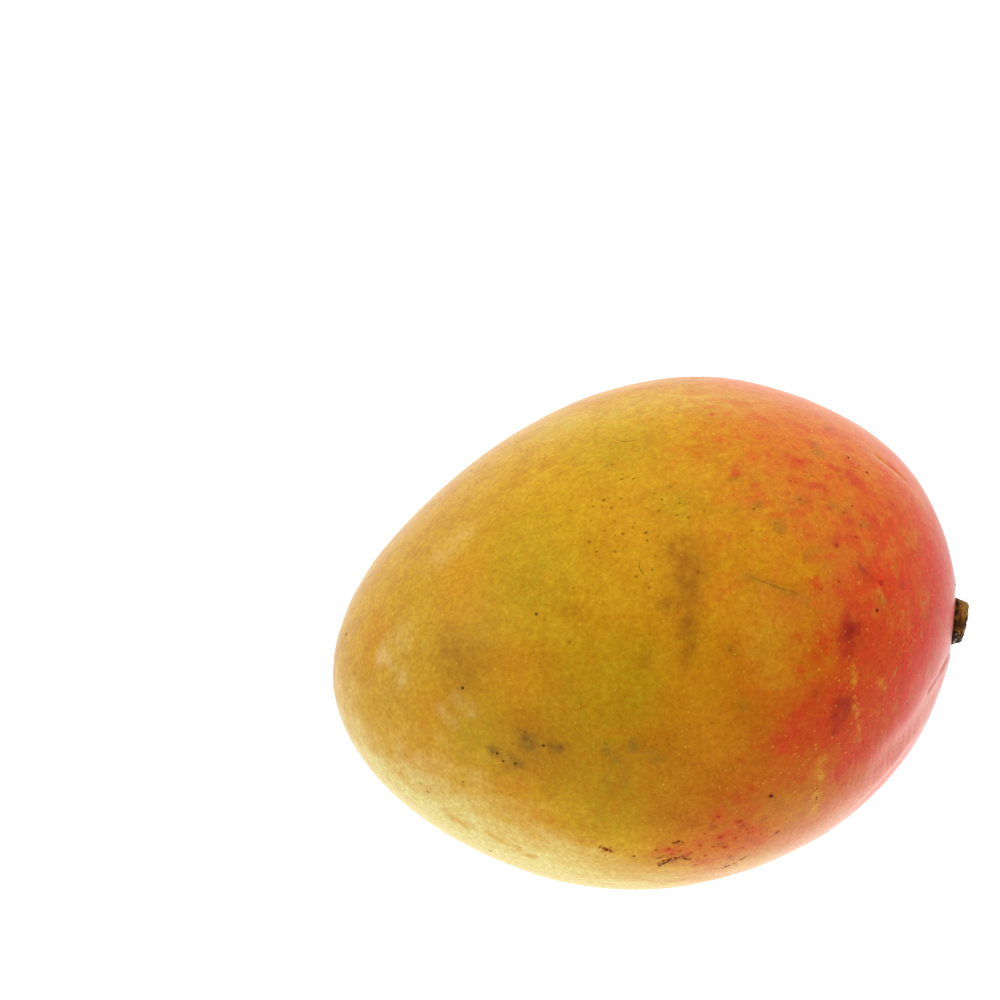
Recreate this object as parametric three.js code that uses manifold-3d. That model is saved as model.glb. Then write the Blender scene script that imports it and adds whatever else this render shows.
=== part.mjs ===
// A whole ripe mango lying on one cheek, with the short stub of its stem.
// Millimetres, +Z up. The long axis runs along X with the stem end at +X, and the origin is
// the middle of the small flat spot that the fruit rests on.
import * as THREE from 'three';
import { mergeVertices } from 'three/addons/utils/BufferGeometryUtils.js';
import Module from 'manifold-3d';

const wasm = await Module();
wasm.setup();

// ---------------------------------------------------------------- driving dimensions, mm

const LENGTH = 120;               // stem end to tip
const WIDTH = 99;                 // side to side, level as the fruit lies
const THICKNESS = 91;             // cheek to cheek, upright as the fruit lies
const WIDER_AT_STEM = 0.05;       // share of the width gained at the stem end and lost at the tip
const THICKER_AT_STEM = 0.17;     // the same share of the thickness
const SQUARENESS = 2.15;          // cross-section: 2 is an ellipse, more gives fuller quarters
const STEM_END_TAPER = 0.99;      // 1 rounds the end like an ellipsoid
const TIP_TAPER = 1.06;           // more than 1 draws the end in to a soft point
const STEM_END_RISE = 5.5;        // how far the middle line climbs from the centre to the stem end

// Broad swells and flats that keep the body from being a perfect egg. Each one is centred
// where the direction "towards" leaves the centre, and fades out around it.
const SWELL_TIGHTNESS = 12;
const SWELLS = [
  { towards: [0.63, 0.30, 0.72], height: -2.0 },    // flattened shoulder, above and behind
  { towards: [-0.59, 0.53, 0.61], height: -1.1 },   // drawn-in back of the tip half
  { towards: [-0.21, -0.64, -0.74], height: 1.2 },  // full lower cheek, in front
];

// The seat of the stem, a little off the long axis, in a shallow cavity with a raised collar.
const SEAT_OFF_AXIS = THREE.MathUtils.degToRad(14);
const SEAT_AROUND = THREE.MathUtils.degToRad(185);  // from +Y, through +Z
const COLLAR_HEIGHT = 0.35;
const COLLAR_SPREAD = 12;
const CAVITY_DEPTH = 2.0;
const CAVITY_RADIUS = 5.6;
const CAVITY_STEEPNESS = 6;       // more than 2 gives a flatter floor and steeper walls
const SOCKET_DEPTH = 1.0;         // below the cavity's floor
const CLEARANCE = 0.3;            // between the stub and its socket

// The stub of the stem: a woody button that narrows to its broken end.
const STUB_RADIUS = 4.75;
const STUB_HEIGHT = 4.65;
const STUB_SLANT = 0.15;          // rise of the broken end for each millimetre across it
const STUB_FLUTES = 5;
const STUB_FLUTE_DEPTH = 0.03;    // share of the radius

// The flat spot on the lower cheek.
const REST_DEPTH = 1.0;           // height of the cheek's curve that the flat spot takes off
const REST_X = 2.5;               // the lowest point, from the middle of the length and width
const REST_Y = -0.5;

const RINGS = 52;                 // from the stem's seat to the far end
const RING_CROWDING = 1.35;       // more than 1 sets the rings closer round the stem
const SEGMENTS = 72;

// ---------------------------------------------------------------- the body's surface

/** A power that keeps the sign of its base. */
const signedPower = (value, power) => Math.sign(value) * Math.abs(value) ** power;

const swells = SWELLS.map(({ towards, height }) => ({
  centre: new THREE.Vector3(...towards).normalize(),
  height,
}));

/** The point of the plain body, without its cavity, that lies in a direction from the centre. */
function bodyPoint(direction) {
  const along = direction.x;
  const across = Math.hypot(direction.y, direction.z);
  const taper = THREE.MathUtils.lerp(TIP_TAPER, STEM_END_TAPER, (along + 1) / 2);
  const girth = across ** taper;
  const roundTheAxis = 2 / SQUARENESS;
  const level = across > 0 ? signedPower(direction.y / across, roundTheAxis) : 0;
  const upright = across > 0 ? signedPower(direction.z / across, roundTheAxis) : 0;
  const point = new THREE.Vector3(
    (LENGTH / 2) * along,
    (WIDTH / 2) * girth * (1 + WIDER_AT_STEM * along) * level,
    (THICKNESS / 2) * girth * (1 + THICKER_AT_STEM * along) * upright + STEM_END_RISE * along,
  );
  for (const { centre, height } of swells) {
    const fade = Math.exp(-SWELL_TIGHTNESS * (1 - direction.dot(centre)));
    point.addScaledVector(direction, height * fade);
  }
  return point;
}

/** A direction from the centre, by its angle off the long axis and its turn around it. */
function directionAt(offAxis, around) {
  const across = Math.sin(offAxis);
  return new THREE.Vector3(
    Math.cos(offAxis), across * Math.cos(around), across * Math.sin(around),
  );
}

/** The outward normal of the plain body, from two short steps along its surface. */
function bodyNormal(offAxis, around) {
  const step = 0.02;
  const ahead = bodyPoint(directionAt(offAxis + step, around))
    .sub(bodyPoint(directionAt(offAxis - step, around)));
  const aside = bodyPoint(directionAt(offAxis, around + step))
    .sub(bodyPoint(directionAt(offAxis, around - step)));
  return ahead.cross(aside).normalize();
}

const seatDirection = directionAt(SEAT_OFF_AXIS, SEAT_AROUND);
const seat = bodyPoint(seatDirection);
const stemAxis = bodyNormal(SEAT_OFF_AXIS, SEAT_AROUND);

/** The body's point with the stem cavity and its collar worked in along the stem's axis. */
function skinPoint(direction) {
  const point = bodyPoint(direction);
  const fromSeat = point.clone().sub(seat);
  const outFromAxis = fromSeat.addScaledVector(stemAxis, -fromSeat.dot(stemAxis)).length();
  if (direction.dot(seatDirection) < 0) return point;
  const collar = COLLAR_HEIGHT * Math.exp(-((outFromAxis / COLLAR_SPREAD) ** 2));
  const cavity = CAVITY_DEPTH * Math.exp(-((outFromAxis / CAVITY_RADIUS) ** CAVITY_STEEPNESS));
  return point.addScaledVector(stemAxis, collar - cavity);
}

// ---------------------------------------------------------------- solids

/** A closed three.js geometry as a solid for joining and cutting. */
function toSolid(geometry) {
  const bare = geometry.clone();
  bare.deleteAttribute('normal');
  bare.deleteAttribute('uv');
  const merged = mergeVertices(bare, 1e-4);
  return new wasm.Manifold(new wasm.Mesh({
    numProp: 3,
    vertProperties: new Float32Array(merged.attributes.position.array),
    triVerts: new Uint32Array(merged.index.array),
  }));
}

/** A solid as a three.js geometry. */
function toGeometry(solid) {
  const { vertProperties, triVerts } = solid.getMesh();
  const geometry = new THREE.BufferGeometry();
  geometry.setAttribute('position', new THREE.BufferAttribute(vertProperties, 3));
  geometry.setIndex(new THREE.BufferAttribute(triVerts, 1));
  geometry.computeVertexNormals();
  return geometry;
}

/** Turns local Y along the stem and local X to the stem's upper side. */
function stemFrame() {
  const up = new THREE.Vector3(0, 0, 1);
  const upperSide = up.addScaledVector(stemAxis, -up.dot(stemAxis)).normalize();
  const side = upperSide.clone().cross(stemAxis);
  return new THREE.Quaternion().setFromRotationMatrix(
    new THREE.Matrix4().makeBasis(upperSide, stemAxis, side),
  );
}

const cavityFloor = COLLAR_HEIGHT - CAVITY_DEPTH;   // at the seat, along the stem's axis
const socketFloor = cavityFloor - SOCKET_DEPTH;

/** The whole skin: rings of points round the stem's seat, laid on the body's surface. */
function skinGeometry() {
  const geometry = new THREE.SphereGeometry(1, SEGMENTS, RINGS);
  const pole = new THREE.Vector3(0, 1, 0);
  const toSeat = new THREE.Quaternion().setFromUnitVectors(pole, seatDirection);
  const points = geometry.attributes.position;
  const direction = new THREE.Vector3();
  for (let i = 0; i < points.count; i += 1) {
    direction.fromBufferAttribute(points, i);
    const share = Math.acos(THREE.MathUtils.clamp(direction.y, -1, 1)) / Math.PI;
    const offPole = Math.PI * share ** RING_CROWDING;
    const across = Math.hypot(direction.x, direction.z);
    const spread = across > 1e-9 ? Math.sin(offPole) / across : 0;
    direction.set(direction.x * spread, Math.cos(offPole), direction.z * spread);
    direction.applyQuaternion(toSeat).normalize();
    points.setXYZ(i, ...skinPoint(direction));
  }
  return geometry;
}

/** The hole that the foot of the stub sits in, from its floor out past the collar. */
function socketGeometry() {
  const height = 12;
  const radius = STUB_RADIUS + CLEARANCE;
  const geometry = new THREE.CylinderGeometry(radius, radius, height, 48);
  geometry.translate(0, socketFloor + height / 2, 0);
  geometry.applyQuaternion(stemFrame());
  geometry.translate(...seat);
  return geometry;
}

/** The slab below the fruit that takes its lower cheek down to a flat spot. */
function groundGeometry(restLevel) {
  const side = 60;
  const geometry = new THREE.BoxGeometry(side, side, side);
  geometry.translate(REST_X, REST_Y, restLevel - side / 2);
  return geometry;
}

function fruit() {
  const skin = skinGeometry();
  skin.computeBoundingBox();
  const restLevel = skin.boundingBox.min.z + REST_DEPTH;
  const solid = toSolid(skin)
    .subtract(toSolid(socketGeometry()))
    .subtract(toSolid(groundGeometry(restLevel)));
  const material = new THREE.MeshStandardMaterial({ color: 0xc8912a, roughness: 0.45, metalness: 0 });
  const mesh = new THREE.Mesh(toGeometry(solid), material);
  mesh.name = 'fruit';
  return { mesh, restLevel };
}

/** Half of the stub's outline: radius and height above its foot. */
function stubProfile() {
  return [
    [0, 0],
    [0.95, 0],
    [1.00, 0.08],
    [1.00, 0.34],
    [0.97, 0.52],
    [0.88, 0.74],
    [0.79, 0.89],
    [0.68, 0.97],
    [0.48, 1.00],
    [0.26, 0.94],
    [0, 0.92],
  ].map(([out, up]) => new THREE.Vector2(out * STUB_RADIUS, up * STUB_HEIGHT));
}

function stemStub() {
  const geometry = new THREE.LatheGeometry(stubProfile(), 40);
  const points = geometry.attributes.position;
  const point = new THREE.Vector3();
  for (let i = 0; i < points.count; i += 1) {
    point.fromBufferAttribute(points, i);
    const turn = Math.atan2(point.z, point.x);
    const share = point.y / STUB_HEIGHT;
    const flute = 1 - STUB_FLUTE_DEPTH * (0.5 - 0.5 * Math.cos(STUB_FLUTES * turn));
    const slant = STUB_SLANT * point.x * share ** 2;
    points.setXYZ(i, point.x * flute, point.y + slant, point.z * flute);
  }
  const bare = toGeometry(toSolid(geometry));
  const material = new THREE.MeshStandardMaterial({ color: 0x5a3a16, roughness: 0.8, metalness: 0 });
  const mesh = new THREE.Mesh(bare, material);
  mesh.name = 'stem_stub';
  mesh.quaternion.copy(stemFrame());
  mesh.position.copy(seat).addScaledVector(stemAxis, socketFloor + CLEARANCE);
  return mesh;
}

// ---------------------------------------------------------------- the mango

const { mesh: fruitMesh, restLevel } = fruit();
const mango = new THREE.Group();
mango.add(fruitMesh, stemStub());
mango.position.set(-REST_X, -REST_Y, -restLevel);

export default mango;
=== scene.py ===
# %% [markdown]
# # A ripe mango, lying on one cheek
#
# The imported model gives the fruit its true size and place. This script gives it its looks: a fine
# skin that blushes from gold to red, its pores and scars, and the woody stub of its stem. It is
# worked out in metres, as Blender does, but written in millimetres, as a fruit is measured.

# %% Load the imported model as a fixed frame
import math
import random

import bpy
import numpy as np
from mathutils import Matrix, Vector, noise
from mathutils.bvhtree import BVHTree


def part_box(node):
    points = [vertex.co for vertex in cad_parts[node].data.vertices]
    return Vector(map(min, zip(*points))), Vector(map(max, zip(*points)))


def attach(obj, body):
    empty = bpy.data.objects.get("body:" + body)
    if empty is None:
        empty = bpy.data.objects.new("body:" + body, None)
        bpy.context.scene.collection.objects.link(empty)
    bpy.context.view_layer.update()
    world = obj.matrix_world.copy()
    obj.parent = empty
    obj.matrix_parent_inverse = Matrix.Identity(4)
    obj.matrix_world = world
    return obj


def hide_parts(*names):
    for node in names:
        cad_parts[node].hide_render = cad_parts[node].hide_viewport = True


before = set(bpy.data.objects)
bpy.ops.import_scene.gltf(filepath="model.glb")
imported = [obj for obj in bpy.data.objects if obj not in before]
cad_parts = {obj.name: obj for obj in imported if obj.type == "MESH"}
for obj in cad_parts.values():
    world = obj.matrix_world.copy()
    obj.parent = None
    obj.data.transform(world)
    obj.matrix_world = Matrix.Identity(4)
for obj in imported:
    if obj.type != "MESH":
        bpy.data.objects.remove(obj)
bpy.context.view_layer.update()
MM = 0.001

# %% [markdown]
# ## Writing formulas as nodes
#
# Geometry trees and shader trees are both built from small maths nodes. A long formula is hard to
# read as a list of nodes, so this small class lets it be written as plain arithmetic: each `+` or
# `*` adds one node to the tree. The same formulas then serve both kinds of tree.

# %% Adding a node and plugging it in
def plug(tree, node, inputs):
    """Plugs sockets into a node and sets its plain values, each by the input's name or number."""
    for key, value in inputs.items():
        source = value.socket if isinstance(value, Value) else value
        if isinstance(source, bpy.types.NodeSocket):
            tree.links.new(source, node.inputs[key])
        else:
            node.inputs[key].default_value = source


def add_node(tree, kind, inputs=None, **settings):
    """Adds a node with its settings, then plugs its inputs."""
    made = tree.nodes.new(kind)
    for name, value in settings.items():
        setattr(made, name, value)
    plug(tree, made, inputs or {})
    return made


# %% A number inside a node tree
class Value:
    """A number in a node tree, used in formulas as a plain number is."""

    def __init__(self, tree, socket):
        self.tree = tree
        self.socket = socket

    def math(self, operation, *others):
        operands = dict(enumerate((self, *others)))
        made = add_node(self.tree, "ShaderNodeMath", operands, operation=operation)
        return Value(self.tree, made.outputs[0])

    def __add__(self, other):
        return self.math("ADD", other)

    def __sub__(self, other):
        return self.math("SUBTRACT", other)

    def __mul__(self, other):
        return self.math("MULTIPLY", other)

    def __truediv__(self, other):
        return self.math("DIVIDE", other)

    def __pow__(self, other):
        return self.math("POWER", other)

    def __neg__(self):
        return self * -1

    __radd__ = __add__
    __rmul__ = __mul__


# %% Small formulas, and vectors inside a node tree
def bell(value):
    """1 where the value is 0, fading to 0 on both sides."""
    return (-value).math("EXPONENT")


def opposite(value):
    """1 where the value is 0, and 0 where it is 1."""
    return value * -1 + 1


def split(tree, vector):
    """The three numbers of a vector."""
    parts = add_node(tree, "ShaderNodeSeparateXYZ", {0: vector})
    return [Value(tree, socket) for socket in parts.outputs]


def join(tree, x, y, z):
    """A vector from three numbers."""
    return add_node(tree, "ShaderNodeCombineXYZ", {0: x, 1: y, 2: z}).outputs[0]


def vector_math(tree, operation, *operands, **named):
    """One step of vector arithmetic. A number comes back as a Value, a vector as its socket."""
    inputs = {**dict(enumerate(operands)), **named}
    made = add_node(tree, "ShaderNodeVectorMath", inputs, operation=operation)
    if operation in ("DOT_PRODUCT", "LENGTH", "DISTANCE"):
        return Value(tree, made.outputs["Value"])
    return made.outputs["Vector"]


def scaled(tree, vector, factor):
    return vector_math(tree, "SCALE", vector, Scale=factor)


# %% [markdown]
# ## The body
#
# A mango is an egg that leans: broad at the stem end, softer at the tip, a little thinner from
# cheek to cheek than it is wide, and never quite regular. It could be sculpted, but its shape
# follows a rule, so Geometry Nodes make it: a cube with fine faces is blown up to a ball, and
# each point of the ball moves to the place that the rule gives for its direction. A globe's grid
# would pinch at the stem and the tip. The cube's faces stay the same size all over.

# %% The sizes of the body
LENGTH = 120 * MM
WIDTH = 99 * MM
THICKNESS = 91 * MM
WIDER_AT_STEM = 0.05
THICKER_AT_STEM = 0.17
SQUARENESS = 2.15
STEM_END_TAPER = 0.99
TIP_TAPER = 1.06
STEM_END_RISE = 5.5 * MM
SWELL_TIGHTNESS = 12
SWELLS = [
    ((0.63, 0.30, 0.72), -2.0 * MM),     # flattened shoulder, above and behind
    ((-0.59, 0.53, 0.61), -1.1 * MM),    # drawn-in back of the tip half
    ((-0.21, -0.64, -0.74), 1.2 * MM),   # full lower cheek, in front
]
MIDDLE = Vector((-2.5, 0.5, 44.58)) * MM   # the middle of the body, above its flat spot

# %% The stem's seat, measured from the middle of the body
SEAT = Vector((58.21, -12.67, 3.99)) * MM
STEM_AXIS = Vector((0.9612, -0.2754, -0.0190)).normalized()
COLLAR_HEIGHT = 0.35 * MM
COLLAR_SPREAD = 12 * MM
CAVITY_DEPTH = 2.0 * MM
CAVITY_RADIUS = 5.6 * MM
CAVITY_STEEPNESS = 6
SOCKET_DEPTH = 1.0 * MM
SOCKET_RADIUS = 5.0 * MM
SOCKET_STEEPNESS = 12


# %% An empty tree, and how each one ends
FLOAT, INT = "NodeSocketFloat", "NodeSocketInt"
GEOMETRY, MATERIAL = "NodeSocketGeometry", "NodeSocketMaterial"


def new_tree(name, sockets):
    """An empty geometry tree with named inputs, each given as name: (kind, default)."""
    tree = bpy.data.node_groups.new(name, "GeometryNodeTree")
    tree.interface.new_socket("Geometry", in_out="OUTPUT", socket_type=GEOMETRY)
    for socket_name, (kind, default) in sockets.items():
        socket = tree.interface.new_socket(socket_name, in_out="INPUT", socket_type=kind)
        if default is not None:
            socket.default_value = default
    return tree, tree.nodes.new("NodeGroupInput").outputs


def position(tree):
    """Where each point of the geometry is."""
    return add_node(tree, "GeometryNodeInputPosition").outputs[0]


def end_tree(tree, geometry, material):
    """Makes all instances real, gives them their material and ends the tree."""
    whole = add_node(tree, "GeometryNodeRealizeInstances", {"Geometry": geometry})
    dressed = add_node(tree, "GeometryNodeSetMaterial", {
        "Geometry": whole.outputs[0], "Material": material})
    add_node(tree, "NodeGroupOutput", {"Geometry": dressed.outputs[0]})


# %% Growing a piece from a tree
def new_object(name, data):
    """An object in the scene that shows the given mesh or camera."""
    made = bpy.data.objects.new(name, data)
    bpy.context.scene.collection.objects.link(made)
    return made


def grow(name, tree, inputs, base=None):
    """Runs a geometry tree over a base mesh, and returns the result as a plain mesh object."""
    source = new_object(name + "_source", base or bpy.data.meshes.new(name + "_base"))
    modifier = source.modifiers.new("grow", "NODES")
    modifier.node_group = tree
    identifiers = {item.name: item.identifier for item in tree.interface.items_tree
                   if item.in_out == "INPUT"}
    for socket_name, value in inputs.items():
        modifier[identifiers[socket_name]] = value
    evaluated = source.evaluated_get(bpy.context.evaluated_depsgraph_get())
    mesh = bpy.data.meshes.new_from_object(evaluated)
    mesh.name = name
    bpy.data.objects.remove(source)
    piece = new_object(name, mesh)
    triangles = sum(len(face.vertices) - 2 for face in mesh.polygons)
    print(f"{name}: {triangles} triangles")
    return piece


def dress(piece, stands_for=None):
    """Tells the frame what a finished piece is part of."""
    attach(piece, "root")
    if stands_for:
        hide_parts(stands_for)


# %% The body's rule as a tree
def rounded_share(part, across):
    """One side of the cross-section: a sine or cosine drawn out towards a square."""
    share = part / across
    return share.math("SIGN") * share.math("ABSOLUTE") ** (2 / SQUARENESS)


body_tree, given = new_tree("mango_body", {
    "Points per Side": (INT, 121),
    "Length": (FLOAT, LENGTH),
    "Width": (FLOAT, WIDTH),
    "Thickness": (FLOAT, THICKNESS),
    "Unevenness": (FLOAT, 0.3 * MM),
    "Material": (MATERIAL, None),
})
t = body_tree
points = given["Points per Side"]
cube = add_node(t, "GeometryNodeMeshCube", {
    "Size": (2, 2, 2), "Vertices X": points, "Vertices Y": points, "Vertices Z": points})
evened = join(t, *[(side * (math.pi / 4)).math("TANGENT") for side in split(t, position(t))])
direction = vector_math(t, "NORMALIZE", evened)
along, level, upright = split(t, direction)
across = (level * level + upright * upright) ** 0.5
taper = (along + 1) * ((STEM_END_TAPER - TIP_TAPER) / 2) + TIP_TAPER
girth = across ** taper
half_width = Value(t, given["Width"]) * 0.5 * girth * (along * WIDER_AT_STEM + 1)
half_thickness = Value(t, given["Thickness"]) * 0.5 * girth * (along * THICKER_AT_STEM + 1)
point = join(
    t,
    Value(t, given["Length"]) * 0.5 * along,
    half_width * rounded_share(level, across),
    half_thickness * rounded_share(upright, across) + along * STEM_END_RISE,
)

# %% Its swells and its slight unevenness
for towards, height in SWELLS:
    closeness = vector_math(t, "DOT_PRODUCT", direction, tuple(Vector(towards).normalized()))
    fade = ((closeness - 1) * SWELL_TIGHTNESS).math("EXPONENT")
    point = vector_math(t, "ADD", point, scaled(t, direction, fade * height))
LUMPS_PER_METRE = 45.0
lumps = add_node(t, "ShaderNodeTexNoise", {"Vector": point, "Scale": LUMPS_PER_METRE})
uneven = (Value(t, lumps.outputs[0]) - 0.5) * 2 * Value(t, given["Unevenness"])
point = vector_math(t, "ADD", point, scaled(t, direction, uneven))

# %% The cavity that the stem stands in
from_seat = vector_math(t, "SUBTRACT", point, tuple(SEAT))
up_the_stem = vector_math(t, "DOT_PRODUCT", from_seat, tuple(STEM_AXIS))
beside = vector_math(t, "SUBTRACT", from_seat, scaled(t, tuple(STEM_AXIS), up_the_stem))
out = vector_math(t, "LENGTH", beside)
collar = bell((out / COLLAR_SPREAD) ** 2) * COLLAR_HEIGHT
cavity = bell((out / CAVITY_RADIUS) ** CAVITY_STEEPNESS) * CAVITY_DEPTH
socket = bell((out / SOCKET_RADIUS) ** SOCKET_STEEPNESS) * SOCKET_DEPTH
stem_half = along.math("GREATER_THAN", 0)
sunk = scaled(t, tuple(STEM_AXIS), (collar - cavity - socket) * stem_half)
point = vector_math(t, "ADD", point, sunk)

# %% The flat spot, and the end of the tree
x, y, z = split(t, vector_math(t, "ADD", point, tuple(MIDDLE)))
settled = join(t, x, y, z.math("MAXIMUM", 0.0))
moved = add_node(t, "GeometryNodeSetPosition", {
    "Geometry": cube.outputs["Mesh"], "Position": settled})
moved = add_node(t, "GeometryNodeStoreNamedAttribute", {
    "Geometry": moved.outputs[0], "Name": "OFBake", "Value": cube.outputs["UV Map"]},
    data_type="FLOAT2", domain="CORNER")
smooth = add_node(t, "GeometryNodeSetShadeSmooth", {"Geometry": moved.outputs[0]})
end_tree(t, smooth.outputs[0], given["Material"])

skin_material = bpy.data.materials.new("mango_skin")
skin = grow("mango_skin", body_tree, {"Material": skin_material})
box_low, box_high = (np.array(corner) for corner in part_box("fruit"))
corners = np.array([vertex.co for vertex in skin.data.vertices])
print("skin past the CAD box, mm:", np.round((box_low - corners.min(0)) / MM, 2),
      np.round((corners.max(0) - box_high) / MM, 2))

# %% [markdown]
# ## Finding a place on the skin
#
# Scars and dots sit where they happened to form, so they are placed one by one. Two numbers say where: how
# far along the fruit from its middle, towards the stem, and how far round it, where 90 degrees is the top,
# 145 faces the viewer and 180 is level at the front. A ray from the long axis finds the skin there.

# %% A ray from the long axis
def mesh_tree(piece):
    return BVHTree.FromPolygons(
        [vertex.co for vertex in piece.data.vertices],
        [face.vertices for face in piece.data.polygons],
    )


def on_skin(along, around):
    """The point of the skin at a place given in mm along and degrees around, and its normal."""
    turn = math.radians(around)
    start = MIDDLE + Vector((along * MM, 0, 0))
    point, normal, _, _ = skin_faces.ray_cast(start, Vector((0, math.cos(turn), math.sin(turn))))
    return point, normal


skin_faces = mesh_tree(skin)
print("top of the fruit, mm:", [round(v / MM, 1) for v in on_skin(0, 90)[0]])

# %% [markdown]
# ## Folds in the shoulder
#
# Near the stem the skin has a few short folds, where the shoulder filled out unevenly. They are one-off
# marks, so each is pressed into the mesh along a given path: the skin sinks along the path and rises again
# within a few millimetres.

# %% Pressing folds into the skin
FOLDS = [   # depth mm, width mm, then the path as places on the skin
    (0.35, 0.8, [(55.3, 177.5), (53.9, 179.2), (51.9, 180), (49.9, 180.8)]),
    (0.65, 5.0, [(53, 186), (47, 190), (41, 193)]),
    (0.25, 0.9, [(44, 98), (46, 99), (48.5, 101)]),
    (0.20, 1.6, [(46, 204), (41, 206), (36, 210)]),
    (0.18, 1.4, [(38, 62), (42, 68), (45, 76)]),
]


def path_on_skin(places, steps=8):
    """Points on the skin along the places, evenly between each two of them."""
    path = []
    for (along, around), (next_along, next_around) in zip(places, places[1:]):
        for step in range(steps):
            share = step / steps
            point, _ = on_skin(
                along + (next_along - along) * share, around + (next_around - around) * share)
            path.append(point)
    path.append(on_skin(*places[-1])[0])
    return path


def distance_to_path(points, path):
    """The distance from each of many points to the nearest stretch of a path."""
    nearest = np.linalg.norm(points - np.array(path[0]), axis=1)
    for start, end in zip(path, path[1:]):
        start, stretch = np.array(start), np.array(end - start)
        share = np.clip((points - start) @ stretch / (stretch @ stretch), 0, 1)
        gap = np.linalg.norm(points - start - share[:, None] * stretch, axis=1)
        nearest = np.minimum(nearest, gap)
    return nearest


places_now = np.array([vertex.co for vertex in skin.data.vertices])
normals_now = np.array([vertex.normal for vertex in skin.data.vertices])
for depth, width, places in FOLDS:
    gap = distance_to_path(places_now, path_on_skin(places)) / (width * MM)
    places_now -= normals_now * (depth * MM * np.exp(-gap ** 2))[:, None]
skin.data.vertices.foreach_set("co", places_now.ravel())
skin.data.update()
print("folds pressed in:", len(FOLDS))

# %% [markdown]
# ## Stains in the skin
#
# Bruises, pale rub marks and red blotches are in the skin, not on it, and have no edge. They are soft spots
# of colour, painted on the mesh's own points, and one dark stroke among them, in the fold by the stem, is
# painted shade. An attribute does that well: the material reads it, and each pore and dot that grows on the
# skin inherits it.

# %% The stains' colours, as linear red, green and blue
BRUISE = (0.38, 0.140, 0.008)
OLIVE = (0.45, 0.31, 0.008)
SMUDGE = (0.27, 0.138, 0.014)
AMBER_TINT = (0.66, 0.26, 0.008)
RUBBED = (0.74, 0.47, 0.13)
BLOTCH = (0.60, 0.045, 0.012)
DEEP_BLOTCH = (0.33, 0.016, 0.008)
YELLOW = (0.68, 0.36, 0.020)
YELLOW_GOLD = (0.62, 0.42, 0.02)
PALE_YELLOW = (0.70, 0.56, 0.10)

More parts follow.
